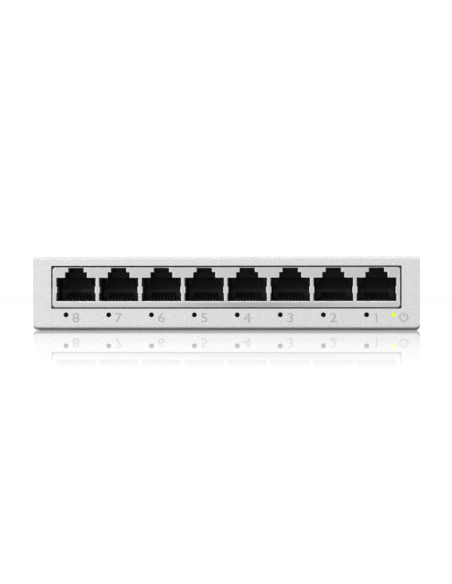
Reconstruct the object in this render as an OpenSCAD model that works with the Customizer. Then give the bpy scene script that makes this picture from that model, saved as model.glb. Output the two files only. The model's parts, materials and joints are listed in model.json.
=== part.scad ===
// Desktop network switch: a folded steel case with a row of eight data ports.
// The origin is on the table under the middle of the case. The ports face -Y and
// port 1, with the power light beside it, is at the +X end. All sizes are in mm.

/* [Case] */
// Outside width of the case
case_w = 125.8; // [125:0.1:135]
// Outside depth of the case
case_d = 70; // [69:0.5:80]
// Outside height of the case, without the feet
case_h = 23.7; // [23.2:0.1:28]
// Thickness of the steel sheet
sheet_t = 0.8; // [0.7:0.1:0.9]
// Outside radius of the cover's folds
bend_r = 1; // [0.95:0.05:1.2]
// Outside radius of the tray's folds
tray_bend_r = 1.1; // [1:0.1:1.4]
// Radius of the lower corners of the front and rear panels
panel_corner_r = 1.6; // [1.2:0.1:1.8]
// Height of the strip of tray that shows below the cover
reveal = 0.7; // [0.5:0.1:0.8]
// Gap along the seams between the tray and the cover
seam_gap = 0.1; // [0.05:0.05:0.15]
// How far the rubber feet stand out below the case
foot_stand = 0.2; // [0.2:0.1:1]
// Depth of the pockets that the feet sit in
pocket_h = 0.8; // [0.6:0.1:1]
// Diameter of the rubber feet
foot_d = 10; // [8:0.5:11]
// Distance between the two wall keyholes
keyhole_span = 90; // [80:1:96]

/* [Ports] */
// Number of ports
ports = 8; // [4:2:8]
// Distance from one port to the next
port_pitch = 13.97; // [13.97:0.01:14]
// Width of the opening that takes the plug
opening_w = 12.9; // [12.7:0.05:13]
// Height of that opening up to its shoulders
opening_h = 7.67; // [7.5:0.01:7.7]
// Height of the opening's lower edge above the board
opening_z = 1.98; // [1.9:0.01:2.1]
// Width of the step above the shoulders
step_w = 7.2; // [6.9:0.05:7.3]
// Height of the step above the shoulders
step_h = 1.8; // [1.7:0.05:1.85]
// Width of the notch for the plug's latch
notch_w = 5.05; // [4.8:0.05:5.2]
// Height of the notch for the plug's latch
notch_h = 1.45; // [1.3:0.05:1.45]
// Angle at which the contact wires stand up from the floor
contact_angle = 14; // [12:0.5:14.5]
// Number of contact wires in a port
contacts = 8; // [4:2:8]
// Distance from one contact wire to the next
contact_pitch = 1.016; // [1:0.001:1.03]

/* [Shield] */
// Height of the metal shield around the ports
shield_h = 13.05; // [13:0.05:13.3]
// Thickness of the shield
shield_t = 0.25; // [0.2:0.05:0.25]
// How far the shield's face stands behind the panel's face
shield_inset = 0.3; // [0.2:0.05:0.4]
// Gap between the shield and the window's edge
window_gap = 0.47; // [0.35:0.01:0.55]

/* [Board] */
// Thickness of the circuit board
board_t = 1.6; // [1.5:0.1:1.6]
// Gap under the circuit board
standoff_h = 4.9; // [4.7:0.1:5.1]

/* [Lights] */
// Diameter of the holes for the lights
led_hole_d = 1.6; // [1.4:0.05:1.7]
// Height of the lights above the case's underside
led_z = 4.85; // [4.75:0.05:4.95]
// Sideways place of a port's light from the port's centre line
led_dx = -3.22; // [-3.6:0.02:-3]
// Place of the power light along the panel
power_led_x = 54.35; // [54:0.05:55]

/* [Power socket] */
// Place of the power socket along the rear panel
jack_x = 44; // [40:0.5:46]
// Diameter of the socket's bore
jack_bore_d = 6.4; // [6.2:0.1:6.5]
// Diameter of the socket's centre pin
jack_pin_d = 2; // [1.9:0.05:2.1]
// Height of the socket's axis above the board
jack_z = 6.5; // [6.4:0.1:6.6]

/* [Hidden] */
$fn = 48;
cut = 1;             // how far a cutting solid runs past the face that it cuts
front_y = -case_d / 2;
rear_y = case_d / 2;
wall_x = case_w / 2;
base_z = foot_stand;
panel_z = base_z + reveal;
top_z = base_z + case_h;
tray_l = case_d - 2 * (sheet_t + seam_gap);
flange_x = wall_x - sheet_t - seam_gap;
flange_h = 9.5;
flange_l = case_d - 8;
window_r = 0.4;
board_z = base_z + sheet_t + standoff_h + board_t;
board_w = case_w - 6;
board_front_y = front_y + 1.5;
board_l = case_d - 3.4;

// Cover screws, two in each side wall, and the extruded bosses that they are driven into
screw_r = 1.45;
tapped_r = 1.5;
screw_clear = 0.15;
screw_ys = [-23, 23];
screw_z = top_z - 6.4;
screw_l = 4;
low_head_r = 2.3;
low_head_h = 0.75;
low_cross = [0.6, 2.6, 0.9];
boss_r = 2.4;
boss_h = 1;

// Board screws and their standoffs
board_screw_xy = [for (x = [-56.5, 56.5], y = [-11.5, 27.5]) [x, y]];
standoff_r = 2.75;
standoff_clear = 0.4;
pan_head_r = 2.7;
pan_head_h = 1.8;
pan_edge = 0.5;
pan_cross = [0.7, 3.2, 2];
pan_screw_l = 4.6;

// Vent slots, one row in each side wall
vents = 13;
vent_pitch = 3;
vent_w = 1.6;
vent_h = 8;
vent_z = base_z + 10.2;

// Wall keyholes: the screw's head goes in at the round end and its shank slides along the slot
keyhole_head_r = 3.75;
keyhole_slot_r = 2;
keyhole_slide = 3;

// Insulating sheet on the floor of the tray, and the label under it
film_t = 0.25;
film_window = [11, 15];
label_size = [54, 34];
label_t = 0.1;
label_r = 1.5;

// Feet, each glued into a round pocket pressed up into the tray
pocket_r = foot_d / 2 + 0.15;
foot_xy = [for (x = [-wall_x + 15, wall_x - 15], y = [front_y + 12, rear_y - 12]) [x, y]];
FOOT_NAMES = ["foot_front_left", "foot_rear_left", "foot_front_right", "foot_rear_right"];

// The port housing stands on the board behind the front panel. The shield's face has a relief
// notch at each corner, where its top and sides fold back.
shield_y = front_y + shield_inset;
housing_y = shield_y + shield_t;
housing_d = 18.5;
housing_w = (ports - 1) * port_pitch + 14.77;
shield_w = housing_w + 2 * shield_t;
relief = 0.45;
housing_h = shield_h - shield_t;
step_inset = 0.1;
notch_inset = 0.3;
cavity_w = opening_w - 0.7;
cavity_d = 13.2;
floor_z = board_z + opening_z + 0.12;
shoulder_z = board_z + opening_z + opening_h;
latch_d = 10.5;

// Sprung tabs that the shield folds into each port to ground the plug
tab_z = floor_z + 2.5;
tab_h = 2.15;
tab_l = 4.4;
tab_t = 0.25;
tab_clear = 0.15;

// Contact wires: fixed tails under the floor, and sprung arms that rise from a bend near the front
wire_w = 0.4;
wire_t = 0.25;
nose_y = housing_y + 3;
nose_z = floor_z + 0.3;
nose_r = 0.2;
nose_gap = 0.05;
riser_y = nose_y - nose_r - nose_gap - wire_t;
arm_l = 8.45;
contact_xs = [for (k = [0 : contacts - 1]) (k - (contacts - 1) / 2) * contact_pitch];
channel_w = 8.2;
channel_h = 1;
channel_l = housing_y + housing_d - nose_y - 1;
riser_clear = 0.1;
tail_z = board_z + 0.4;
tail_ys = [housing_y + 13.9, housing_y + 16.44];
tail_drop = 1.1;
tail_hole = 0.65;

// The comb guides the tips of the arms at the back of each port.
comb_y = housing_y + 10.35;
comb_slot_w = 0.6;
comb_slot_d = 1.6;
comb_slot_top = floor_z + 2.7;
comb_step_z = floor_z + 4;
comb_step = 0.4;
comb_slope = 1.6;

// Lights on the underside of the board
led_y = front_y + 1.85;
led_size = [3, 1.4, 2 * (board_z - board_t - base_z - led_z)];
led_lens_h = 0.35;
baffle_t = 0.9;
baffle_drop = 1.6;

// Power socket at the rear edge of the board
jack_y = rear_y - sheet_t - 0.3;
jack_w = 9;
jack_l = 14.2;
jack_h = 11;
jack_bore_l = 9.5;
jack_barrel_r = 4.3;
jack_collar_l = 3.4;
jack_hole_r = 4.2;
jack_pin_base = 0.8;
jack_pin_tip = 0.5;
leaf_l = 8.3;
leaf_w = 2.4;
leaf_angle = 5;
leaf_y = jack_y - jack_bore_l - 1.2;
leaf_z = board_z + jack_z - jack_bore_d / 2 - 0.3;
leaf_t = 0.3;

jack_terminal_xy = [[0, -13.2], [0, -7.2], [3.4, -10.2]];
jack_terminal = [2.6, 0.6, board_t + 1.4];
jack_slot = [3.4, 1.1, board_t + 2 * cut];

// Switch chip and the parts stacked on it
chip_xy = [0, 14];
chip_w = 14;
chip_h = 1.2;
pad_t = 0.5;
sink_w = 22;
sink_base_t = 1.5;
sink_fin_h = 5;
sink_fin_t = 1;
sink_fins = 9;

// Places on the board of the parts around the chip
transformer_y = housing_y + housing_d + 8.6;
crystal_xy = [-20, 8];
memory_xy = [-20, 18.5];
converter_xy = [27, 12];
inductor_xs = [18, 27];
inductor_y = 21;
capacitor_xs = [-44, -34, 35.6];
capacitor_y = 23;
diode_xy = [36, 12];
fuse_xy = [44, 12];
resistor_x = -46;
resistor_y = 13;

function port_x(i) = ((ports + 1) / 2 - i) * port_pitch;

module along_x(l) translate([-l / 2, 0, 0]) rotate([90, 0, 90]) linear_extrude(l) children();

module along_y(l) translate([0, l / 2, 0]) rotate([90, 0, 0]) linear_extrude(l) children();

module rod_x(r, l) rotate([0, 90, 0]) cylinder(r = r, h = l, center = true);

module rod_y(r, l) rotate([90, 0, 0]) cylinder(r = r, h = l, center = true);

module slab(size) translate([-size[0] / 2, -size[1] / 2, 0]) cube(size);

module on_board(xy) translate([xy[0], xy[1], board_z]) children();

module soft_rect(w, h, r) {
    square([w - 2 * r, h], center = true);
    square([w, h - 2 * r], center = true);
    for (x = [-1, 1], y = [-1, 1])
        translate([x * (w / 2 - r), y * (h / 2 - r)]) circle(r);
}

// A rectangle w across and h high, standing on y = 0, with its two upper corners rounded
module arch(w, h, r) {
    translate([-w / 2, 0]) square([w, h - r]);
    translate([-w / 2 + r, 0]) square([w - 2 * r, h]);
    for (s = [-1, 1]) translate([s * (w / 2 - r), h - r]) circle(r);
}

// A folded channel seen from its end: w across, h high, folded to an outside radius r, open at the bottom
module channel_profile(w, h, r) difference() {
    arch(w, h, r);
    translate([0, -cut]) arch(w - 2 * sheet_t, h - sheet_t + cut, r - sheet_t);
}

// The cover's inner flange with its fold, seen from its end, for the +X side
module flange_profile() {
    translate([flange_x - sheet_t, top_z - flange_h]) square([sheet_t, flange_h - bend_r]);
    translate([flange_x - bend_r, top_z - bend_r]) difference() {
        intersection() {
            circle(bend_r);
            square(bend_r);
        }
        circle(bend_r - sheet_t);
    }
}

module cover_flange() {
    along_y(flange_l) flange_profile();
    for (y = screw_ys) translate([flange_x - sheet_t - boss_h / 2, y, screw_z]) rod_x(boss_r, boss_h);
}

// What is cut off the cover at a panel's lower corner, which rounds it
module panel_corner() difference() {
    cube([2 * panel_corner_r, case_d + cut, 2 * panel_corner_r], center = true);
    translate([-panel_corner_r, 0, panel_corner_r]) rod_y(panel_corner_r, case_d + 2 * cut);
}

module led_holes(r, y, l) {
    for (i = [1 : ports]) translate([port_x(i) + led_dx, y, base_z + led_z]) rod_y(r, l);
    translate([power_led_x, y, base_z + led_z]) rod_y(r, l);
}

module top_cover() color("gainsboro") difference() {
    union() {
        difference() {
            translate([0, 0, panel_z]) along_x(case_w) channel_profile(case_d, top_z - panel_z, bend_r);
            for (s = [-1, 1]) {
                translate([s * (flange_x + cut), 0, top_z])
                    cube([2 * cut, case_d - 2 * sheet_t, 4 * bend_r], center = true);
                translate([s * flange_x, 0, top_z])
                    cube([2 * bend_r, flange_l, 4 * bend_r], center = true);
            }
        }
        for (s = [0, 1]) mirror([s, 0, 0]) cover_flange();
    }
    for (s = [0, 1]) mirror([s, 0, 0]) translate([wall_x, 0, panel_z]) panel_corner();
    translate([0, front_y, board_z + shield_h / 2])
        along_y(2 * bend_r + cut)
            soft_rect(shield_w + 2 * window_gap, shield_h + 2 * window_gap, window_r);
    led_holes(led_hole_d / 2, front_y, 2 * bend_r + cut);
    translate([jack_x, rear_y, board_z + jack_z]) rod_y(jack_hole_r, 2 * bend_r + cut);
    for (s = [-1, 1], y = screw_ys) translate([s * flange_x, y, screw_z]) rod_x(tapped_r, 6 * boss_h);
}

module vent_row() for (k = [0 : vents - 1])
    translate([(k - (vents - 1) / 2) * vent_pitch, vent_z]) soft_rect(vent_w, vent_h, vent_w / 2 - 0.01);

module keyhole() {
    translate([0, -keyhole_slide]) circle(keyhole_head_r);
    translate([-keyhole_slot_r, -keyhole_slide]) square(2 * [keyhole_slot_r, keyhole_slide]);
    translate([0, keyhole_slide]) circle(keyhole_slot_r);
}

module foot_places(z) for (p = foot_xy) translate([p[0], p[1], z]) children();

module base_tray() color("silver") difference() {
    union() {
        translate([0, 0, top_z]) mirror([0, 0, 1]) along_y(tray_l)
            channel_profile(case_w, case_h, tray_bend_r);
        foot_places(base_z) cylinder(r = pocket_r + sheet_t, h = pocket_h + sheet_t);
    }
    foot_places(base_z - cut) cylinder(r = pocket_r, h = pocket_h + cut);
    along_x(case_w + cut) vent_row();
    for (s = [0, 1], y = screw_ys) mirror([s, 0, 0]) translate([wall_x - sheet_t, y, screw_z]) {
        rod_x(screw_r + screw_clear, 4 * sheet_t);
        rotate([0, 90, 0])
            cylinder(r1 = screw_r + screw_clear, r2 = low_head_r + screw_clear, h = sheet_t);
    }
    for (s = [-1, 1]) translate([s * keyhole_span / 2, 0, base_z - cut])
        linear_extrude(sheet_t + 2 * cut) keyhole();
}

module foot() color("dimgray") {
    edge = 0.15;
    cylinder(r1 = foot_d / 2 - edge, r2 = foot_d / 2, h = edge);
    translate([0, 0, edge]) cylinder(d = foot_d, h = foot_stand + pocket_h - edge);
}

module low_head_screw() {
    rotate([0, 90, 0]) difference() {
        union() {
            translate([0, 0, -low_head_h]) cylinder(r1 = screw_r, r2 = low_head_r, h = low_head_h);
            translate([0, 0, -screw_l]) cylinder(r = screw_r, h = screw_l - low_head_h / 2);
        }
        for (a = [0, 90]) rotate(a) cube(low_cross, center = true);
    }
}

module cover_screws() color("lightgray") for (s = [0, 1], y = screw_ys)
    mirror([s, 0, 0]) translate([wall_x - 0.02, y, screw_z]) low_head_screw();

module board_standoffs() color("goldenrod") for (p = board_screw_xy)
    translate([p[0], p[1], base_z + sheet_t]) difference() {
        cylinder(r = standoff_r, h = standoff_h);
        translate([0, 0, -cut]) cylinder(r = tapped_r, h = standoff_h + 2 * cut);
    }

module board_screws() color("lightgray") for (p = board_screw_xy)
    translate([p[0], p[1], board_z]) difference() {
        union() {
            cylinder(r = pan_head_r, h = pan_head_h - pan_edge);
            translate([0, 0, pan_head_h - pan_edge])
                cylinder(r1 = pan_head_r, r2 = pan_head_r - pan_edge, h = pan_edge);
            translate([0, 0, -pan_screw_l]) cylinder(r = screw_r, h = pan_screw_l + pan_edge);
        }
        translate([0, 0, pan_head_h]) for (a = [0, 90]) rotate(a) cube(pan_cross, center = true);
    }

module insulating_sheet() color("whitesmoke") difference() {
    translate([0, -0.5, base_z + sheet_t]) slab([board_w - 2, board_l - 4, film_t]);
    for (p = board_screw_xy) translate([p[0], p[1], base_z])
        cylinder(r = standoff_r + standoff_clear, h = 2 * sheet_t + film_t);
    for (s = [-1, 1]) translate([s * keyhole_span / 2, 0, base_z])
        slab([film_window[0], film_window[1], 2 * sheet_t + film_t]);
    foot_places(base_z) cylinder(r = pocket_r + sheet_t + standoff_clear, h = 2 * sheet_t + film_t);
}

module rating_label() color("white") translate([0, 0, base_z - label_t]) linear_extrude(label_t)
    soft_rect(label_size[0], label_size[1], label_r);

module tail_holes() for (i = [1 : ports], k = [0 : contacts - 1])
    translate([port_x(i) + contact_xs[k], tail_ys[k % 2], board_z - board_t - cut])
        slab([tail_hole, tail_hole, board_t + 2 * cut]);

module main_board() color("darkgreen") difference() {
    translate([0, board_front_y + board_l / 2, board_z - board_t]) linear_extrude(board_t)
        soft_rect(board_w, board_l, 1);
    for (p = board_screw_xy) translate([p[0], p[1], board_z - board_t - cut])
        cylinder(r = screw_r + screw_clear, h = board_t + 2 * cut);
    tail_holes();
    jack_terminal_places() translate([0, 0, board_z - board_t - cut]) slab(jack_slot);
}

// A port's outline from height z up to its step, w wide below the shoulders
module opening_outline(w, z, inset) {
    translate([-w / 2, z]) square([w, shoulder_z - inset - z]);
    translate([-step_w / 2 + inset, z]) square([step_w - 2 * inset, shoulder_z + step_h - inset - z]);
}

module notch_outline(z, inset) translate([-notch_w / 2 + inset, z])
    square([notch_w - 2 * inset, shoulder_z + step_h + notch_h - inset - z]);

module port_cavity() {
    translate([-cavity_w / 2, housing_y - cut, floor_z])
        cube([cavity_w, cavity_d + cut, shoulder_z - step_inset - floor_z]);
    translate([0, housing_y + (latch_d - cut) / 2, 0]) along_y(latch_d + cut) {
        opening_outline(cavity_w, floor_z, step_inset);
        notch_outline(floor_z, notch_inset);
    }
}

// Clearance in a cavity's side walls for the shield's grounding tabs
module tab_groove() for (s = [-1, 1])
    translate([s * (cavity_w / 2 + 0.2), housing_y + (tab_l - cut) / 2, tab_z + tab_h / 2])
        cube([2 * tab_t + 0.1, tab_l + cut, tab_h + 2 * tab_clear], center = true);

module port_housing() color("#1c1c1e") difference() {
    translate([-housing_w / 2, housing_y, board_z]) cube([housing_w, housing_d, housing_h]);
    for (i = [1 : ports]) translate([port_x(i), 0, 0]) {
        port_cavity();
        tab_groove();
        translate([-channel_w / 2, riser_y - riser_clear, board_z - cut])
            cube([channel_w, channel_l, channel_h + cut]);
        translate([-channel_w / 2, riser_y - riser_clear, board_z])
            cube([channel_w, wire_t + 2 * riser_clear, floor_z - board_z + cut]);
    }
}

module port_shield() color("#c9cad0") {
    difference() {
        translate([-shield_w / 2, shield_y, board_z])
            cube([shield_w, housing_d + 2 * shield_t, shield_h]);
        translate([-housing_w / 2, housing_y, board_z - cut])
            cube([housing_w, housing_d, housing_h + cut]);
        for (i = [1 : ports]) translate([port_x(i), shield_y, 0]) along_y(4 * shield_t) {
            opening_outline(opening_w, board_z + opening_z, 0);
            notch_outline(board_z + opening_z, 0);
        }
        for (s = [-1, 1], z = [board_z, board_z + shield_h]) translate([s * shield_w / 2, shield_y, z])
            cube([2, 4, 2] * relief, center = true);
    }
    for (i = [1 : ports], s = [0, 1]) translate([port_x(i), shield_y, tab_z]) mirror([s, 0, 0])
        translate([opening_w / 2 - tab_t, 0, 0]) {
            cube([tab_t, tab_l, tab_h]);
            cube([2 * tab_t, shield_t, tab_h]);
        }
}

module contact_insert(i) color("#3a3a3d") translate([port_x(i), 0, 0]) difference() {
    along_x(cavity_w - 0.3) polygon([
        [comb_y, floor_z], [comb_y, comb_step_z], [comb_y + comb_step, comb_step_z],
        [comb_y + comb_slope, shoulder_z - 2 * step_inset],
        [housing_y + cavity_d, shoulder_z - 2 * step_inset], [housing_y + cavity_d, floor_z]
    ]);
    for (x = contact_xs) translate([x, comb_y, floor_z - cut])
        slab([comb_slot_w, 2 * comb_slot_d, comb_slot_top - floor_z + cut]);
    for (s = [-1, 1]) translate([s * cavity_w / 2, comb_y, comb_step_z + 1.3])
        slab([3.8, 4, 5]);
}

module contact_arms(i) color("gold") for (x = contact_xs)
    translate([port_x(i) + x, nose_y, nose_z]) rotate([contact_angle, 0, 0]) {
        rod_x(nose_r, wire_w);
        translate([-wire_w / 2, 0, -wire_t / 2]) cube([wire_w, arm_l, wire_t]);
    }

module contact_tail(tail_y) {
    translate([-wire_w / 2, riser_y, tail_z]) cube([wire_w, wire_t, nose_z - tail_z]);
    translate([-wire_w / 2, riser_y, tail_z]) cube([wire_w, tail_y + wire_t / 2 - riser_y, wire_t]);
    translate([-wire_w / 2, tail_y - wire_t / 2, board_z - board_t - tail_drop])
        cube([wire_w, wire_t, tail_z + wire_t - board_z + board_t + tail_drop]);
}

module contact_tails() color("gold") for (i = [1 : ports], k = [0 : contacts - 1])
    translate([port_x(i) + contact_xs[k], 0, 0]) contact_tail(tail_ys[k % 2]);

module light_baffle() color("#141414") difference() {
    translate([0, led_y - 0.5, base_z + led_z - baffle_drop])
        slab([board_w - 3, baffle_t, led_size[2] / 2 + baffle_drop - 0.05]);
    led_holes(led_hole_d / 2 + 0.15, led_y, 6 * baffle_t);
}

module led() {
    translate([-led_size[0] / 2, 0, -led_size[2] / 2]) cube(led_size);
    rotate([90, 0, 0]) cylinder(r1 = 0.65, r2 = 0.5, h = led_lens_h);
}

module port_leds() color("palegreen") for (i = [1 : ports])
    translate([port_x(i) + led_dx, led_y, base_z + led_z]) led();

module power_led() color("greenyellow") translate([power_led_x, led_y, base_z + led_z]) led();

// A row of leads along the two sides of a chip that face -Y and +Y
module chip_leads(l, leads, pitch) for (s = [-1, 1], k = [0 : leads - 1])
    translate([(k - (leads - 1) / 2) * pitch, s * (l / 2 + 0.4), 0]) slab([pitch * 0.45, 1.2, 0.35]);

module chip_package(w, l, h, leads, pitch) {
    translate([0, 0, 0.1]) slab([w, l, h - 0.1]);
    chip_leads(l, leads, pitch);
}

module line_transformer(i) color("#242424")
    translate([port_x(2 * i - 0.5), transformer_y, board_z]) chip_package(21, 12, 6, 20, 1);

module switch_chip() color("#202020") on_board(chip_xy) {
    chip_package(chip_w, chip_w, chip_h, 16, 0.8);
    rotate(90) chip_leads(chip_w, 16, 0.8);
}

module thermal_pad() color("lightsteelblue")
    on_board(chip_xy) translate([0, 0, chip_h]) slab([chip_w, chip_w, pad_t]);

module heat_sink() color("#8a8d92") on_board(chip_xy) translate([0, 0, chip_h + pad_t]) {
    slab([sink_w, sink_w, sink_base_t]);
    for (k = [0 : sink_fins - 1])
        translate([(k / (sink_fins - 1) - 0.5) * (sink_w - sink_fin_t), 0, 0])
            slab([sink_fin_t, sink_w, sink_base_t + sink_fin_h]);
}

module crystal() color("silver") on_board(crystal_xy) linear_extrude(3.6) soft_rect(4.8, 11.4, 2.3);

module config_memory() color("#202020") on_board(memory_xy) chip_package(4.9, 3.9, 1.6, 4, 1.27);

module buck_converter() color("#202020") on_board(converter_xy) chip_package(4.9, 3.9, 1.6, 4, 1.27);

module power_inductors() color("#4a4a4c") for (x = inductor_xs)
    on_board([x, inductor_y]) linear_extrude(4) soft_rect(7, 7, 1.2);

module filter_capacitors() color("gainsboro") for (x = capacitor_xs) on_board([x, capacitor_y]) {
    linear_extrude(1) soft_rect(6.6, 6.6, 0.6);
    cylinder(r = 3.15, h = 7.7);
}

module input_diode() color("#202020") on_board(diode_xy) chip_package(4.3, 2.7, 2.2, 1, 3.2);

module input_fuse() color("olivedrab") on_board(fuse_xy) slab([4.5, 3.2, 1.1]);

module chip_capacitors() color("tan") for (a = [0, 90, 180, 270], k = [-3 : 3])
    on_board(chip_xy) rotate(a) translate([k * 2.6, 12.6, 0]) slab([0.8, 1.6, 0.8]);

module chip_resistors() color("#2b2b2b") for (k = [0 : 8])
    on_board([resistor_x + 2.4 * k, resistor_y]) slab([0.8, 1.6, 0.5]);

module jack_body() color("#1c1c1e") translate([jack_x, jack_y, board_z]) difference() {
    union() {
        translate([-jack_w / 2, -jack_collar_l, 0]) cube([jack_w, jack_collar_l, jack_h]);
        translate([-jack_w / 2, -jack_l, 0]) cube([jack_w, jack_l, jack_z]);
        translate([0, -jack_l / 2 - 1, jack_z]) rod_y(jack_barrel_r, jack_l - 2);
    }
    translate([0, -jack_bore_l / 2 + cut, jack_z]) rod_y(jack_bore_d / 2, jack_bore_l + 2 * cut);
    translate([-1.5, -jack_bore_l - 2, leaf_z - board_z - 0.9]) cube([3, jack_bore_l + 1, 2.2]);
}

module jack_pin() color("silver") translate([jack_x, jack_y, board_z + jack_z]) rotate([90, 0, 0]) {
    shoulder = jack_pin_base + jack_pin_tip;
    translate([0, 0, shoulder]) cylinder(d = jack_pin_d, h = jack_bore_l - shoulder);
    translate([0, 0, jack_pin_base])
        cylinder(r1 = jack_pin_d / 2 - jack_pin_tip, r2 = jack_pin_d / 2, h = jack_pin_tip);
}

module jack_spring() color("silver") translate([jack_x, leaf_y, leaf_z]) rotate([leaf_angle, 0, 0]) {
    rod_x(leaf_t, leaf_w);
    translate([-leaf_w / 2, 0, -leaf_t / 2]) cube([leaf_w, leaf_l, leaf_t]);
}

module jack_terminal_places() for (p = jack_terminal_xy)
    translate([jack_x + p[0], jack_y + p[1], 0]) children();

module jack_terminals() color("silver") jack_terminal_places()
    translate([0, 0, board_z - jack_terminal[2]]) slab(jack_terminal);

top_cover();
base_tray();
for (k = [0 : 3]) translate([foot_xy[k][0], foot_xy[k][1], 0]) foot();
cover_screws();
board_standoffs();
board_screws();
insulating_sheet();
rating_label();
main_board();
port_housing();
port_shield();
for (i = [1 : ports]) contact_insert(i);
for (i = [1 : ports]) contact_arms(i);
contact_tails();
light_baffle();
port_leds();
power_led();
for (i = [1 : ports / 2]) line_transformer(i);
switch_chip();
thermal_pad();
heat_sink();
crystal();
config_memory();
buck_converter();
power_inductors();
filter_capacitors();
input_diode();
input_fuse();
chip_capacitors();
chip_resistors();
jack_body();
jack_pin();
jack_spring();
jack_terminals();
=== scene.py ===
import json
import math

import bmesh
import bpy
from mathutils import Matrix, Quaternion, Vector


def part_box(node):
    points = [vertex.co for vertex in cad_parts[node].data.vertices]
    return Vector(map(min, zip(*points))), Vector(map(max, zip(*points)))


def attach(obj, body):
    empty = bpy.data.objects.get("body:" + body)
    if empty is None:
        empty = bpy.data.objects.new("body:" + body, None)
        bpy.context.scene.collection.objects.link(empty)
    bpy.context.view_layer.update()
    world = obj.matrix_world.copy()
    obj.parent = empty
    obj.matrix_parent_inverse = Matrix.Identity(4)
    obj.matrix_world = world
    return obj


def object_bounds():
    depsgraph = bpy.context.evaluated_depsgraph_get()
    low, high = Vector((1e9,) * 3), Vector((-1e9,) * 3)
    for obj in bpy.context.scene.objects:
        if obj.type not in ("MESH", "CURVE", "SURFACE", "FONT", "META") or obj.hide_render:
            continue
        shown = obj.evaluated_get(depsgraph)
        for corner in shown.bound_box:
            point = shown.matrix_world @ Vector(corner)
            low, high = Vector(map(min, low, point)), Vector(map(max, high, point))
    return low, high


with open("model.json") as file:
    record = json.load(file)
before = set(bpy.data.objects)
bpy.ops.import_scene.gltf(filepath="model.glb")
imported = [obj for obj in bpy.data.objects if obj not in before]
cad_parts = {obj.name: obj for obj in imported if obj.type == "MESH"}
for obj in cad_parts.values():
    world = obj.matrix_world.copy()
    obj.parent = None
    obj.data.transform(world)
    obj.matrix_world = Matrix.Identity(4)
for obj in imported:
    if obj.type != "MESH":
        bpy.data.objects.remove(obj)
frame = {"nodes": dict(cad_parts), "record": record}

MM = 0.001
NODES = frame["nodes"]
SCENE = bpy.context.scene
CAD_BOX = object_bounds()
PANEL_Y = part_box("top_cover")[0].y
PANEL_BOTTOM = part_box("top_cover")[0].z
PORTS = range(1, 9)


def middle(node):
    """The middle of a CAD node's box."""
    low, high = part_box(node)
    return (low + high) / 2


# ---------------------------------------------------------------- materials

class Nodes:
    """A node tree, with short ways to add to it."""

    def __init__(self, tree):
        self.tree = tree
        self.tree.nodes.clear()

    def add(self, kind, inputs=None, **settings):
        """A new node with its settings. Each input is joined to a socket or given a value."""
        made = self.tree.nodes.new(kind)
        for key, value in settings.items():
            setattr(made, key, value)
        for key, value in (inputs or {}).items():
            if isinstance(value, bpy.types.NodeSocket):
                self.tree.links.new(value, made.inputs[key])
            else:
                made.inputs[key].default_value = value
        return made

    def math(self, operation, a, b=0.0):
        return self.add("ShaderNodeMath", {0: a, 1: b}, operation=operation).outputs[0]

    def spread(self, value, low, high, out_low, out_high):
        """value from low..high to out_low..out_high, kept inside that."""
        inputs = {"Value": value, "From Min": low, "From Max": high,
                  "To Min": out_low, "To Max": out_high}
        return self.add("ShaderNodeMapRange", inputs).outputs[0]

    def vector(self, operation, a, b=None):
        """The outputs of a vector operation on a, or on a and b."""
        inputs = {0: a} if b is None else {0: a, 1: b}
        return self.add("ShaderNodeVectorMath", inputs, operation=operation).outputs

    def blend(self, amount, a, b):
        """Colour a where amount is 0 and b where it is 1."""
        made = self.add("ShaderNodeMix", data_type="RGBA")
        for index, value in ((0, amount), (6, a), (7, b)):
            if isinstance(value, bpy.types.NodeSocket):
                self.tree.links.new(value, made.inputs[index])
            else:
                made.inputs[index].default_value = value if index == 0 else (*value, 1)
        return made.outputs[2]


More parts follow.
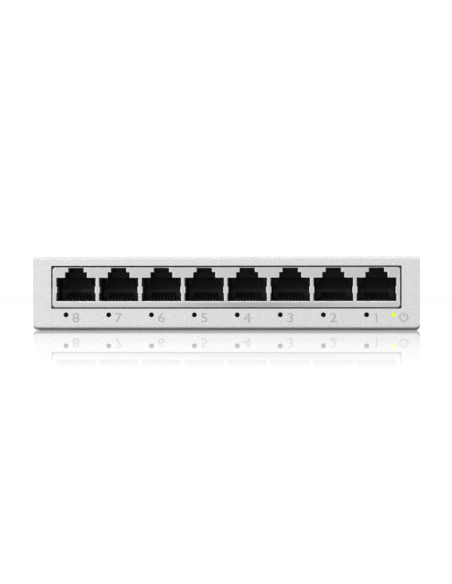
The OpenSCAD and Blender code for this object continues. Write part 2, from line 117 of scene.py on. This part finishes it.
class Surface(Nodes):
    """A material's nodes: object coordinates to start from and a Principled shader at the end."""

    def __init__(self, name):
        self.material = bpy.data.materials.new(name)
        self.material.use_nodes = True
        super().__init__(self.material.node_tree)
        self.output = self.add("ShaderNodeOutputMaterial")
        self.place = self.add("ShaderNodeTexCoord").outputs["Object"]

    def noise(self, size, detail, stretch=None):
        """Noise with lumps about size metres across, finer on each axis by its factor in stretch."""
        place = self.place
        if stretch:
            place = self.add("ShaderNodeMapping", {"Vector": place, "Scale": stretch}).outputs[0]
        inputs = {"Vector": place, "Scale": 1 / size, "Detail": detail, "Roughness": 0.55}
        return self.add("ShaderNodeTexNoise", inputs).outputs["Fac"]

    def hollow(self, reach):
        """How shut in a point is by what stands within reach of it, 0 in the open to 1; a mask for
        painted shade.
        """
        occlusion = self.add("ShaderNodeAmbientOcclusion", {"Distance": reach}, samples=6)
        return self.spread(occlusion.outputs["AO"], 0.3, 0.85, 1.0, 0.0)

    def rounded(self, radius, edge_spread=1.0):
        """The normal with its sharp edges rounded, and how much of an edge each point is.

        A larger edge_spread widens what counts as an edge.
        """
        soft = self.add("ShaderNodeBevel", {"Radius": radius}, samples=4).outputs[0]
        true = self.add("ShaderNodeNewGeometry").outputs["True Normal"]
        match = self.vector("DOT_PRODUCT", soft, true)["Value"]
        least, most = 0.01 / edge_spread, 0.15 / edge_spread
        return soft, self.spread(match, 1 - least, 1 - most, 0.0, 1.0)

    def oval(self, centre, half_size):
        """1 in the middle of an oval patch, fading to 0 at its rim."""
        apart = self.vector("SUBTRACT", self.place, centre)[0]
        scaled = self.vector("DIVIDE", apart, half_size)[0]
        return self.spread(self.vector("LENGTH", scaled)["Value"], 0.3, 1.0, 1.0, 0.0)

    def bump(self, height, depth, normal):
        """The normal turned to follow height, which stands depth metres from 0 to 1."""
        inputs = {"Height": height, "Distance": depth, "Strength": 1.0, "Normal": normal}
        return self.add("ShaderNodeBump", inputs).outputs[0]

    def finish(self, colour, rough, normal, **sockets):
        """A Principled shader with these inputs, and the finished material."""
        inputs = {"Base Color": colour, "Roughness": rough, "Normal": normal}
        inputs.update({key.replace("_", " "): value for key, value in sockets.items()})
        shader = self.add("ShaderNodeBsdfPrincipled", inputs)
        self.tree.links.new(shader.outputs[0], self.output.inputs["Surface"])
        return self.material


def tint(colour, factor):
    return tuple(min(1.0, c * factor) for c in colour)


def powder_coat(name, colour):
    """Fine metallic powder coat: speckled grain, soft mottling, edges paler partly from wear and
    partly as a painted highlight, and painted shade in hollows.
    """
    s = Surface(name)
    grain = s.noise(0.34 * MM, 3.0)
    speckle = s.noise(0.9 * MM, 2.0)
    broad = s.noise(9 * MM, 2.0)
    soft, edge = s.rounded(0.22 * MM)
    mottled = s.blend(s.spread(grain, 0.3, 0.7, 0, 1), tint(colour, 0.78), tint(colour, 1.2))
    mottled = s.blend(s.spread(speckle, 0.5, 0.66, 0, 0.6), mottled, tint(colour, 1.14))
    mottled = s.blend(s.spread(broad, 0.35, 0.65, 0, 0.25), mottled, tint(colour, 0.95))
    # Paler edges: partly wear, partly a painted highlight where edges catch the light.
    mottled = s.blend(s.math("MULTIPLY", edge, 0.45), mottled, tint(colour, 1.2))
    # Painted shade: darker where nearby parts shut the coat in, in recesses, gaps and under edges.
    mottled = s.blend(s.math("MULTIPLY", s.hollow(2.5 * MM), 0.92), mottled, tint(colour, 0.14))
    rough = s.spread(speckle, 0.3, 0.7, 0.42, 0.56)
    normal = s.bump(grain, 0.026 * MM, soft)
    return s.finish(mottled, rough, normal, Metallic=0.25)


def sheet_metal(name, colour, rough, along=(1, 6, 6), grain_depth=0.004, edge_r=0.08, edge_spread=1.0,
                painted_shade_patch=None):
    """Plated or brushed metal, with fine lines along one axis and painted highlights on its cut
    edges.

    painted_shade_patch is the middle and the half size of an oval patch darkened as painted shade.
    """
    s = Surface(name)
    lines = s.noise(0.5 * MM, 3.0, along)
    cloud = s.noise(5 * MM, 2.0)
    soft, edge = s.rounded(edge_r * MM, edge_spread)
    base = s.blend(s.spread(lines, 0.3, 0.7, 0, 1), tint(colour, 0.93), tint(colour, 1.06))
    base = s.blend(s.spread(cloud, 0.4, 0.7, 0, 0.4), base, tint(colour, 0.9))
    # Painted shade: an oval patch of the plating is darkened.
    if painted_shade_patch:
        base = s.blend(s.oval(*painted_shade_patch), base, tint(colour, 0.75))
    # Painted highlight: the cut edges are brightened as if catching the light.
    base = s.blend(s.math("MULTIPLY", edge, 0.8), base, tint(colour, 1.6))
    roughness = s.spread(cloud, 0.3, 0.7, rough - 0.06, rough + 0.08)
    return s.finish(base, roughness, s.bump(lines, grain_depth * MM, soft), Metallic=1.0)


def moulded(name, colour, rough, grain=0.12, depth=0.01, **sockets):
    """Moulded plastic or rubber: a faint grain, uneven gloss and slightly paler edges, partly wear
    and partly a painted highlight.
    """
    s = Surface(name)
    fine = s.noise(grain * MM, 2.0)
    cloud = s.noise(4 * MM, 3.0)
    soft, edge = s.rounded(0.12 * MM)
    base = s.blend(s.spread(fine, 0.3, 0.7, 0, 1), tint(colour, 0.85), tint(colour, 1.15))
    base = s.blend(s.spread(cloud, 0.4, 0.65, 0, 0.5), base, tint(colour, 0.9))
    # Paler edges: partly wear, partly a painted highlight where edges catch the light.
    base = s.blend(s.math("MULTIPLY", edge, 0.35), base, tint(colour, 1.7))
    roughness = s.spread(cloud, 0.3, 0.7, rough - 0.07, rough + 0.08)
    return s.finish(base, roughness, s.bump(fine, depth * MM, soft), **sockets)


def solder_mask(name):
    """Green solder mask over copper traces, which show as slightly raised, paler lines."""
    mask, trace = (0.012, 0.1, 0.035), (0.03, 0.2, 0.07)
    copper_pour, cut_edge_shade = (0.016, 0.13, 0.045), (0.02, 0.022, 0.016)
    s = Surface(name)
    scaled = {"Vector": s.place, "Scale": [1 / (2.5 * MM)] * 3}
    run = s.add("ShaderNodeMapping", scaled).outputs[0]
    maze = s.add("ShaderNodeTexBrick", {
        "Vector": run, "Color1": (1, 1, 1, 1), "Color2": (1, 1, 1, 1), "Mortar": (0, 0, 0, 1),
        "Mortar Size": 0.09, "Brick Width": 2.4, "Row Height": 0.6}).outputs["Fac"]
    cloud = s.noise(12 * MM, 2.0)
    base = s.blend(maze, mask, trace)
    base = s.blend(s.spread(cloud, 0.45, 0.55, 0, 0.6), base, copper_pour)
    normal = s.add("ShaderNodeNewGeometry").outputs["Normal"]
    upright = s.add("ShaderNodeSeparateXYZ", {0: normal}).outputs["Z"]
    # The board's cut edges differ from its top as bare board; their near-black colour is painted
    # shade.
    base = s.blend(s.math("ABSOLUTE", upright), cut_edge_shade, base)
    soft, _ = s.rounded(0.1 * MM)
    return s.finish(base, s.spread(cloud, 0.3, 0.7, 0.25, 0.4), s.bump(maze, 0.03 * MM, soft))


def lit_resin(name, colour, strength):
    """A lamp's resin, which glows more in its middle than at its rim."""
    s = Surface(name)
    cloud = s.noise(0.5 * MM, 1.0)
    facing = s.add("ShaderNodeLayerWeight", {"Blend": 0.4}).outputs["Facing"]
    glow = s.blend(facing, colour, tint(colour, 0.85))
    soft, _ = s.rounded(0.1 * MM)
    return s.finish(tint(colour, 0.1) + (1,), s.spread(cloud, 0, 1, 0.25, 0.4), soft,
                    Emission_Color=glow, Emission_Strength=strength)


# The middle of the shield's strip below the openings is darkened as painted shade.
SHIELD_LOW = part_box("port_shield")[0]
SHADE_PATCH_MIDDLE = (10 * MM, SHIELD_LOW.y, SHIELD_LOW.z + 0.6 * MM)
SHADE_PATCH_HALF_SIZE = (34 * MM, 10 * MM, 2 * MM)

MATERIALS = {
    "case_paint": powder_coat("powder_coat", (0.66, 0.668, 0.667)),
    # The shield gets wide painted highlights on its cut edges and a patch of painted shade below its
    # openings.
    "shield_metal": sheet_metal("plated_shield", (0.53, 0.535, 0.545), 0.38, edge_r=0.65, edge_spread=9.0,
                                painted_shade_patch=(SHADE_PATCH_MIDDLE, SHADE_PATCH_HALF_SIZE)),
    "screw_steel": sheet_metal("plated_screw", (0.6, 0.6, 0.6), 0.25, (1, 1, 1)),
    "standoff_brass": sheet_metal("turned_brass", (0.75, 0.58, 0.3), 0.28, (1, 1, 8)),
    "bright_metal": sheet_metal("tinned_metal", (0.72, 0.72, 0.72), 0.25),
    "sink_aluminium": sheet_metal("extruded_aluminium", (0.5, 0.51, 0.53), 0.38, (6, 1, 6)),
    # Painted shade: the gold contact wires are coloured near-black for the shade deep in the ports.
    "contact_gold": sheet_metal("gold_wire_painted_shade", (0.06, 0.058, 0.053), 0.75, (4, 1, 4), 0.002),
    "port_plastic": moulded("black_moulding", (0.0095, 0.0102, 0.012), 0.6,
                            Specular_IOR_Level=0.3),
    "insert_plastic": moulded("comb_moulding", (0.0145, 0.0155, 0.0175), 0.6,
                              Specular_IOR_Level=0.35),
    "chip_plastic": moulded("chip_epoxy", (0.025, 0.025, 0.026), 0.6, 0.2, 0.02),
    "foot_rubber": moulded("foot_rubber", (0.03, 0.03, 0.032), 0.75, 0.25, 0.03),
    "insulator_film": moulded("clear_film", (0.6, 0.62, 0.6), 0.3, 0.6, 0.004),
    "label_film": moulded("label_film", (0.87, 0.87, 0.85), 0.3, 0.3, 0.003),
    "led_plastic": moulded("unlit_resin", (0.006, 0.0065, 0.007), 0.5, 0.3, 0.002,
                           Specular_IOR_Level=0.2),
    "pad_silicone": moulded("silicone_pad", (0.3, 0.36, 0.45), 0.7, 0.3, 0.02),
    "ferrite": moulded("pressed_ferrite", (0.06, 0.06, 0.065), 0.7, 0.3, 0.04),
    "fuse_body": moulded("fuse_resin", (0.1, 0.16, 0.05), 0.45),
    "ceramic": moulded("fired_ceramic", (0.42, 0.3, 0.18), 0.45),
    "board_green": solder_mask("solder_mask"),
    "power_led_glow": lit_resin("lit_resin", (0.76, 0.95, 0.05), 0.98),
}
INK = moulded("printed_ink", (0.44, 0.445, 0.45), 0.55, 0.3, 0.004)


# ---------------------------------------------------------------- pieces

def add_object(name, mesh, body, material):
    """A new piece that rides on a body and takes its finish from a slot."""
    obj = bpy.data.objects.new(name, mesh)
    SCENE.collection.objects.link(obj)
    mesh.materials.clear()
    mesh.materials.append(material)
    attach(obj, body)


# How much the edges are rounded, in mm, by material slot. Sheet metal keeps its cut edges.
EDGE_RADII = {"port_plastic": 0.1, "insert_plastic": 0.08, "foot_rubber": 0.12,
              "chip_plastic": 0.06, "sink_aluminium": 0.12, "ferrite": 0.2, "ceramic": 0.06,
              "fuse_body": 0.08, "pad_silicone": 0.1, "contact_gold": 0.03, "bright_metal": 0.06}


def dress_cad_nodes():
    """Each CAD node takes the material of its slot in the record."""
    for part in frame["record"]["subparts"]:
        mesh = NODES[part["node"]].data
        mesh.materials.clear()
        mesh.materials.append(MATERIALS[part["material_slot"]])


def round_edges(obj, radius):
    """Real rounded edges on a CAD node: its faces are joined up, then its sharp edges bevelled."""
    weld = obj.modifiers.new("weld", "WELD")
    weld.merge_threshold = 0.001 * MM
    merge = obj.modifiers.new("merge", "DECIMATE")
    merge.decimate_type = "DISSOLVE"
    merge.angle_limit = math.radians(0.5)
    bevel = obj.modifiers.new("bevel", "BEVEL")
    bevel.width = radius
    bevel.segments = 3
    bevel.limit_method = "ANGLE"
    bevel.angle_limit = math.radians(40)
    bevel.loop_slide = False
    bevel.harden_normals = True


def round_cad_nodes():
    """Each CAD node whose material slot has a radius gets real rounded edges."""
    for part in frame["record"]["subparts"]:
        radius = EDGE_RADII.get(part["material_slot"])
        if radius:
            round_edges(NODES[part["node"]], radius * MM)


INK_T = 0.02 * MM
DIGIT_H = 3.0 * MM
DIGIT_STRETCH = 1.2  # how much wider than the font's
DIGIT_BOTTOM = PANEL_BOTTOM + 1.73 * MM


def digit_mesh(text):
    """A flat printed figure as a thin solid: upright, facing -Y, its lower edge at the origin."""
    curve = bpy.data.curves.new("figure", "FONT")
    curve.body = text
    curve.extrude = 0.5  # each way, so it is 1 thick
    stand_in = bpy.data.objects.new("figure", curve)
    SCENE.collection.objects.link(stand_in)
    bpy.context.view_layer.update()
    shape = stand_in.evaluated_get(bpy.context.evaluated_depsgraph_get())
    mesh = bpy.data.meshes.new_from_object(shape)
    bpy.data.objects.remove(stand_in)
    bpy.data.curves.remove(curve)
    corners = [v.co.copy() for v in mesh.vertices]
    low = Vector(map(min, *corners))
    high = Vector(map(max, *corners))
    scale = DIGIT_H / (high.y - low.y)
    shift = Matrix.Translation(-Vector(((low.x + high.x) / 2, low.y, low.z)))
    size = Matrix.Diagonal((scale * DIGIT_STRETCH, scale, INK_T, 1))
    mesh.transform(Matrix.Rotation(math.pi / 2, 4, "X") @ size @ shift)
    return mesh


def ribbon(bm, inner, outer):
    """A thin solid between two rows of (x, z) points, standing on the panel."""
    rows = [[bm.verts.new((x, PANEL_Y - raised * INK_T, z)) for x, z in line]
            for raised in (0, 1) for line in (inner, outer)]
    count = len(inner)
    for k in range(count - 1):
        for a, b in ((0, 1), (1, 3), (3, 2), (2, 0)):
            bm.faces.new((rows[a][k], rows[a][k + 1], rows[b][k + 1], rows[b][k]))
    for k in (0, count - 1):
        bm.faces.new([rows[r][k] for r in (0, 1, 3, 2)])


def print_strokes(name, strokes):
    """A printed figure drawn as ribbons, each given by its inner and outer row of points."""
    bm = bmesh.new()
    for inner, outer in strokes:
        ribbon(bm, inner, outer)
    bmesh.ops.recalc_face_normals(bm, faces=bm.faces)
    mesh = bpy.data.meshes.new(name)
    bm.to_mesh(mesh)
    bm.free()
    add_object(name, mesh, "case", INK)


def print_one(name, x):
    """A bar with a small flag at its top left."""
    half, flag, drop = 0.18 * MM, 0.5 * MM, 0.4 * MM
    top = DIGIT_BOTTOM + DIGIT_H
    left, right = x - half, x + half
    under = [(left - flag, top - drop - half), (left, top - 2 * half), (left, DIGIT_BOTTOM)]
    over = [(left - flag, top - drop + half), (right, top), (right, DIGIT_BOTTOM)]
    print_strokes(name, [(under, over)])


def print_numbers():
    """The number under each port. The font's own 1 has no flag, so the 1 is drawn."""
    for port in PORTS:
        name, x = f"printed_number_{port}", middle(f"contact_insert_{port}").x
        if port == 1:
            print_one(name, x)
            continue
        mesh = digit_mesh(str(port))
        mesh.transform(Matrix.Translation((x, PANEL_Y, DIGIT_BOTTOM)))
        add_object(name, mesh, "case", INK)


def print_power_symbol():
    """An open ring with a bar in its gap, beside the power light."""
    radius, stroke, gap = 1.45 * MM, 0.35 * MM, math.radians(30)
    bar_low, bar_high = 0.25 * MM, 1.6 * MM
    x, z = 57.65 * MM, PANEL_BOTTOM + 3.35 * MM  # the ring's middle
    steps = 40
    turns = [math.pi / 2 + gap + (math.tau - 2 * gap) * k / steps for k in range(steps + 1)]
    ring = [[(x + r * math.cos(t), z + r * math.sin(t)) for t in turns]
            for r in (radius - stroke, radius)]
    bar = [[(x + side * stroke / 2, z + up) for up in (bar_low, bar_high)] for side in (-1, 1)]
    print_strokes("power_symbol", [ring, bar])


# ---------------------------------------------------------------- floor, light and camera

def outside_case(s):
    """How far a floor point is from the case, and how far outside its sides, below 0 under it."""
    place = s.add("ShaderNodeNewGeometry").outputs["Position"]
    apart = s.vector("ABSOLUTE", place)[0]
    half = CAD_BOX[1]
    out = s.vector("SUBTRACT", apart, (half.x, half.y, 0))[0]
    beyond = s.vector("MAXIMUM", out, (0, 0, 0))[0]
    sides = s.add("ShaderNodeSeparateXYZ", {0: out}).outputs
    return s.vector("LENGTH", beyond)["Value"], s.math("MAXIMUM", sides["X"], sides["Y"])


def white_floor():
    """A white sheet that glows evenly and mirrors the case, less so away from it.

    Under the case its glow drops to a painted shadow. At low angles the camera sees it a little
    brighter near the case.
    """
    shade_from, shade_to = -0.6 * MM, 0.1 * MM  # where the painted shadow under the case ends
    mirror_from, mirror_to, mirror_most = 0.13, 0.42, 0.75  # metres away, and the mirror's share
    bright_from, bright_to, bright_most = 0.2, 0.3, 0.24  # metres away, and the glow added
    glow_seen, left_under = 0.92, 0.087  # the glow, and the share of it left under the case as painted shadow
    glow_lit, lit_under = 0.72, 0.04  # the glow that lights the case, in the open and under it
    grey, mirror_rough = 0.11, 0.012
    white = (1, 1, 1, 1)

    s = Surface("white_floor")
    far, inside = outside_case(s)
    path = s.add("ShaderNodeLightPath").outputs
    clear = s.spread(inside, shade_from, shade_to, 0.0, 1.0)
    facing = s.add("ShaderNodeLayerWeight", {"Blend": 0.5}).outputs["Facing"]
    low = s.math("POWER", facing, 3.0)
    fade = s.add("ShaderNodeMapRange", {
        "Value": far, "From Min": mirror_from, "From Max": mirror_to,
        "To Min": mirror_most, "To Max": 0.0}, interpolation_type="SMOOTHSTEP").outputs[0]
    gloss = s.math("MULTIPLY", s.math("MULTIPLY", clear, low), fade)

    # Painted light: the camera alone sees the floor glow brighter near the case at low angles.
    near = s.spread(far, bright_from, bright_to, bright_most, 0.0)
    near = s.math("MULTIPLY", s.math("POWER", low, 3.0), near)
    seen = s.math("ADD", s.math("MULTIPLY", path["Is Camera Ray"], near), glow_seen)
    # Painted shadow: the glow is cut under the case.
    seen = s.math("MULTIPLY", seen, s.spread(clear, 0.0, 1.0, left_under, 1.0))
    glow = s.add("ShaderNodeEmission", {"Color": white, "Strength": seen}).outputs[0]
    matt = s.add("ShaderNodeBsdfDiffuse", {"Color": (grey, grey, grey, 1)}).outputs[0]
    sheet = s.add("ShaderNodeAddShader", {0: glow, 1: matt}).outputs[0]
    mirror = s.add("ShaderNodeBsdfGlossy", {"Color": white, "Roughness": mirror_rough}).outputs[0]
    sheet = s.add("ShaderNodeMixShader", {0: gloss, 1: sheet, 2: mirror}).outputs[0]

    lit = s.spread(clear, 0.0, 1.0, lit_under, glow_lit)
    light = s.add("ShaderNodeEmission", {"Color": white, "Strength": lit}).outputs[0]
    floor = {0: path["Is Diffuse Ray"], 1: sheet, 2: light}
    s.tree.links.new(s.add("ShaderNodeMixShader", floor).outputs[0], s.output.inputs["Surface"])
    return s.material


def make_floor():
    reach = 6.0
    corners = [(-reach, -reach, 0), (reach, -reach, 0), (reach, reach, 0), (-reach, reach, 0)]
    mesh = bpy.data.meshes.new("floor")
    mesh.from_pydata(corners, [], [(0, 1, 2, 3)])
    mesh.materials.append(white_floor())
    floor = bpy.data.objects.new("floor", mesh)
    SCENE.collection.objects.link(floor)


def make_world():
    """A plain studio: white to look at, softer as a light, and greyer overhead in gloss."""
    seen, lit, overhead = 1.02, 0.62, 0.6
    world = bpy.data.worlds.new("studio")
    world.use_nodes = True
    w = Nodes(world.node_tree)
    way = w.add("ShaderNodeTexCoord").outputs["Generated"]
    up = w.add("ShaderNodeSeparateXYZ", {0: way}).outputs["Z"]
    mirrored = w.spread(up, 0.1, 0.7, seen, overhead)
    path = w.add("ShaderNodeLightPath").outputs
    diffuse, glossy = path["Is Diffuse Ray"], path["Is Glossy Ray"]
    strength = w.add("ShaderNodeMix", {0: diffuse, 2: seen, 3: lit}).outputs[0]
    only_glossy = w.math("MULTIPLY", glossy, w.math("SUBTRACT", 1.0, diffuse))
    strength = w.add("ShaderNodeMix", {0: only_glossy, 2: strength, 3: mirrored}).outputs[0]
    light = w.add("ShaderNodeBackground", {"Color": (1, 1, 1, 1), "Strength": strength}).outputs[0]
    w.add("ShaderNodeOutputWorld", {0: light})
    SCENE.world = world


def softbox(name, place, size, power):
    """A rectangular studio light, aimed at the case."""
    aim = Vector((0, 0, 0.01))
    lamp = bpy.data.lights.new(name, "AREA")
    lamp.shape = "RECTANGLE"
    lamp.size, lamp.size_y = size
    lamp.energy = power
    obj = bpy.data.objects.new(name, lamp)
    obj.location = place
    obj.rotation_mode = "QUATERNION"
    obj.rotation_quaternion = (aim - Vector(place)).to_track_quat("-Z", "Y")
    SCENE.collection.objects.link(obj)


def make_lights():
    softbox("key_softbox", place=(-0.66, -0.78, 0.3), size=(0.5, 0.5), power=3.9)
    softbox("top_softbox", place=(0.1, -0.3, 1.0), size=(1.0, 0.6), power=4.8)


def make_camera():
    """Level with the middle of the case, 3 degrees to its right and barely tilted."""
    turn, roll = math.radians(2.97), math.radians(-0.05)
    distance = 0.75
    right_of_middle, above_bottom = 0.1 * MM, 11.56 * MM
    aim = Vector((right_of_middle, PANEL_Y, PANEL_BOTTOM + above_bottom))
    camera = bpy.data.cameras.new("camera")
    camera.sensor_width = 36
    camera.lens = 142.35
    camera.clip_start, camera.clip_end = 0.01, 100
    obj = bpy.data.objects.new("camera", camera)
    obj.location = aim + distance * Vector((math.sin(turn), -math.cos(turn), 0))
    obj.rotation_mode = "QUATERNION"
    level = (aim - obj.location).to_track_quat("-Z", "Y")
    obj.rotation_quaternion = level @ Quaternion((0, 0, 1), roll)
    SCENE.collection.objects.link(obj)
    SCENE.camera = obj


make_camera()
make_world()
make_lights()
make_floor()
dress_cad_nodes()
round_cad_nodes()
print_numbers()
print_power_symbol()
SCENE.view_settings.view_transform = "Standard"
